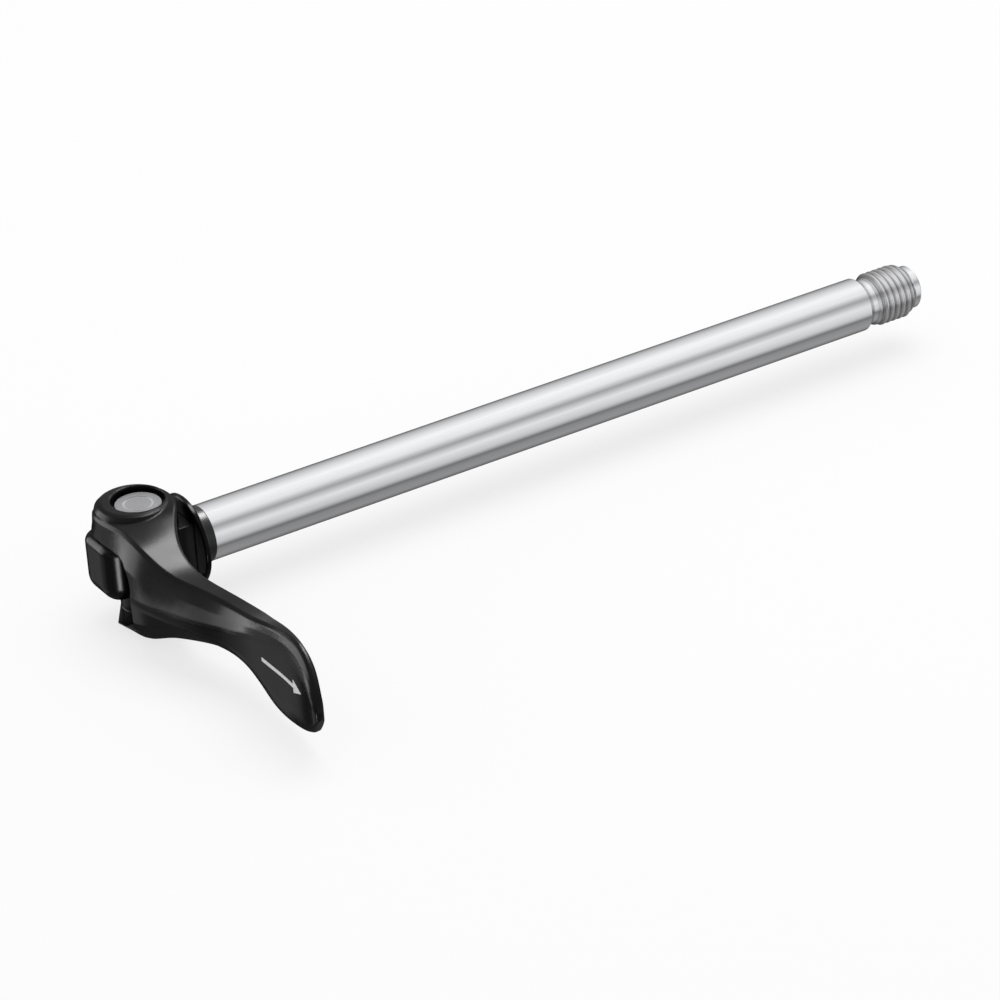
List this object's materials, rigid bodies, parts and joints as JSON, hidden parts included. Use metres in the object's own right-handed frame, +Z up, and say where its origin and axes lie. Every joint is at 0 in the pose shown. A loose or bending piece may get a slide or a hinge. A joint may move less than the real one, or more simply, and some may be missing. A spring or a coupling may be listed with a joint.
{
  "type": "rear thru axle",
  "caption": "Hollow thru axle that screws into a frame's far dropout, with a clamping head whose cam lever draws a round seat tight against the near dropout.",
  "frame": {"origin": "on the axle's centre line, in the plane of the round clamping face that seats on the frame", "axes": "+X along the axle from the clamping face to the threaded end, +Z up along the lever's pivot pin, the closed lever pointing to -Y"},
  "size_m": [0.2036, 0.0859, 0.0254],
  "materials": {
    "axle_alloy": "drawn and polished along its length, satin to bright",
    "seat_black": "semi-gloss black",
    "inner_steel": "turned, lightly oiled",
    "head_black": "satin black",
    "bush_polymer": "matt black bearing plastic",
    "pin_steel": "fine matt steel",
    "lever_black": "satin black over a forged alloy arm"
  },
  "bodies": {
    "axle": {"axle_shaft": "axle_alloy", "neck_ring": "seat_black", "pull_stud": "inner_steel"},
    "head": {"housing": "head_black", "base_flange": "seat_black", "upper_bush": "bush_polymer", "lower_bush": "bush_polymer"},
    "lever": {"lever": "lever_black", "cam_pin": "pin_steel"}
  },
  "joints": [
    {"name": "head_slide", "type": "slide", "parent": "axle", "child": "head", "axis": [-1, 0, 0], "range_m": [0, 0.0007]},
    {"name": "lever_pivot", "type": "hinge", "parent": "head", "child": "lever", "pos_m": [-0.0104, 0, 0], "axis": [0, 0, -1], "range_deg": [0, 90]}
  ],
  "couplings": [
    {"joint": "head_slide", "follows": "lever_pivot", "m_per_rad": 0.00044563}
  ]
}
